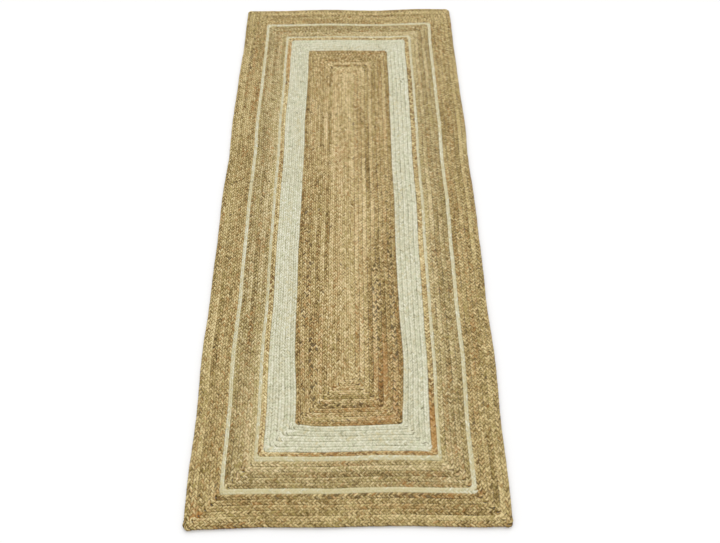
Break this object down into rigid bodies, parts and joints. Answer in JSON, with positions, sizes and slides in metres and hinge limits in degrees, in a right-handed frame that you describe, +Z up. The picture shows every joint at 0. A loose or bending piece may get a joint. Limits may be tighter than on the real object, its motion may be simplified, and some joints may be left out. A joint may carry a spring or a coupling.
{
  "type": "runner rug",
  "caption": "Flat rectangular runner rug of hand-plaited jute: nested rounds of braid sewn edge to edge, tan with off-white bands and a golden line.",
  "frame": {"origin": "under the middle of the rug, on the floor that it lies on", "axes": "+Y along the rug's long side, away from the near end; +X across it; +Z up out of the pile side"},
  "size_m": [0.6094, 1.524, 0.007],
  "materials": {
    "field_jute": "natural jute braid, warm tan with brown flecks",
    "middle_jute": "natural jute braid, slightly grey olive tan",
    "border_jute": "natural jute braid, straw tan with brown flecks",
    "golden_jute": "golden tan jute braid",
    "cream_jute": "bleached off-white jute braid",
    "natural_thread": "natural jute sewing thread",
    "cream_thread": "off-white cotton sewing thread"
  },
  "bodies": {
    "root": {"core_braid": "field_jute", "field_braid_01": "field_jute", "field_braid_02": "field_jute", "field_braid_03": "field_jute", "field_braid_04": "field_jute", "field_braid_05": "field_jute", "field_braid_06": "field_jute", "field_braid_07": "field_jute", "field_braid_08": "field_jute", "field_braid_09": "field_jute", "field_braid_10": "field_jute", "field_braid_11": "field_jute", "field_seam_thread": "natural_thread", "cream_braid_01": "cream_jute", "cream_braid_02": "cream_jute", "cream_braid_03": "cream_jute", "cream_braid_04": "cream_jute", "cream_braid_05": "cream_jute", "cream_seam_thread": "cream_thread", "golden_braid": "golden_jute", "golden_seam_thread": "natural_thread", "inner_line_braid": "cream_jute", "inner_line_seam_thread": "cream_thread", "middle_braid_01": "middle_jute", "middle_braid_02": "middle_jute", "middle_braid_03": "middle_jute", "middle_braid_04": "middle_jute", "middle_braid_05": "middle_jute", "middle_seam_thread": "natural_thread", "outer_line_braid": "cream_jute", "outer_line_seam_thread": "cream_thread", "border_braid_01": "border_jute", "border_braid_02": "border_jute", "border_braid_03": "border_jute", "border_braid_04": "border_jute", "border_braid_05": "border_jute", "border_braid_06": "border_jute", "border_seam_thread": "natural_thread"}
  },
  "joints": []
}
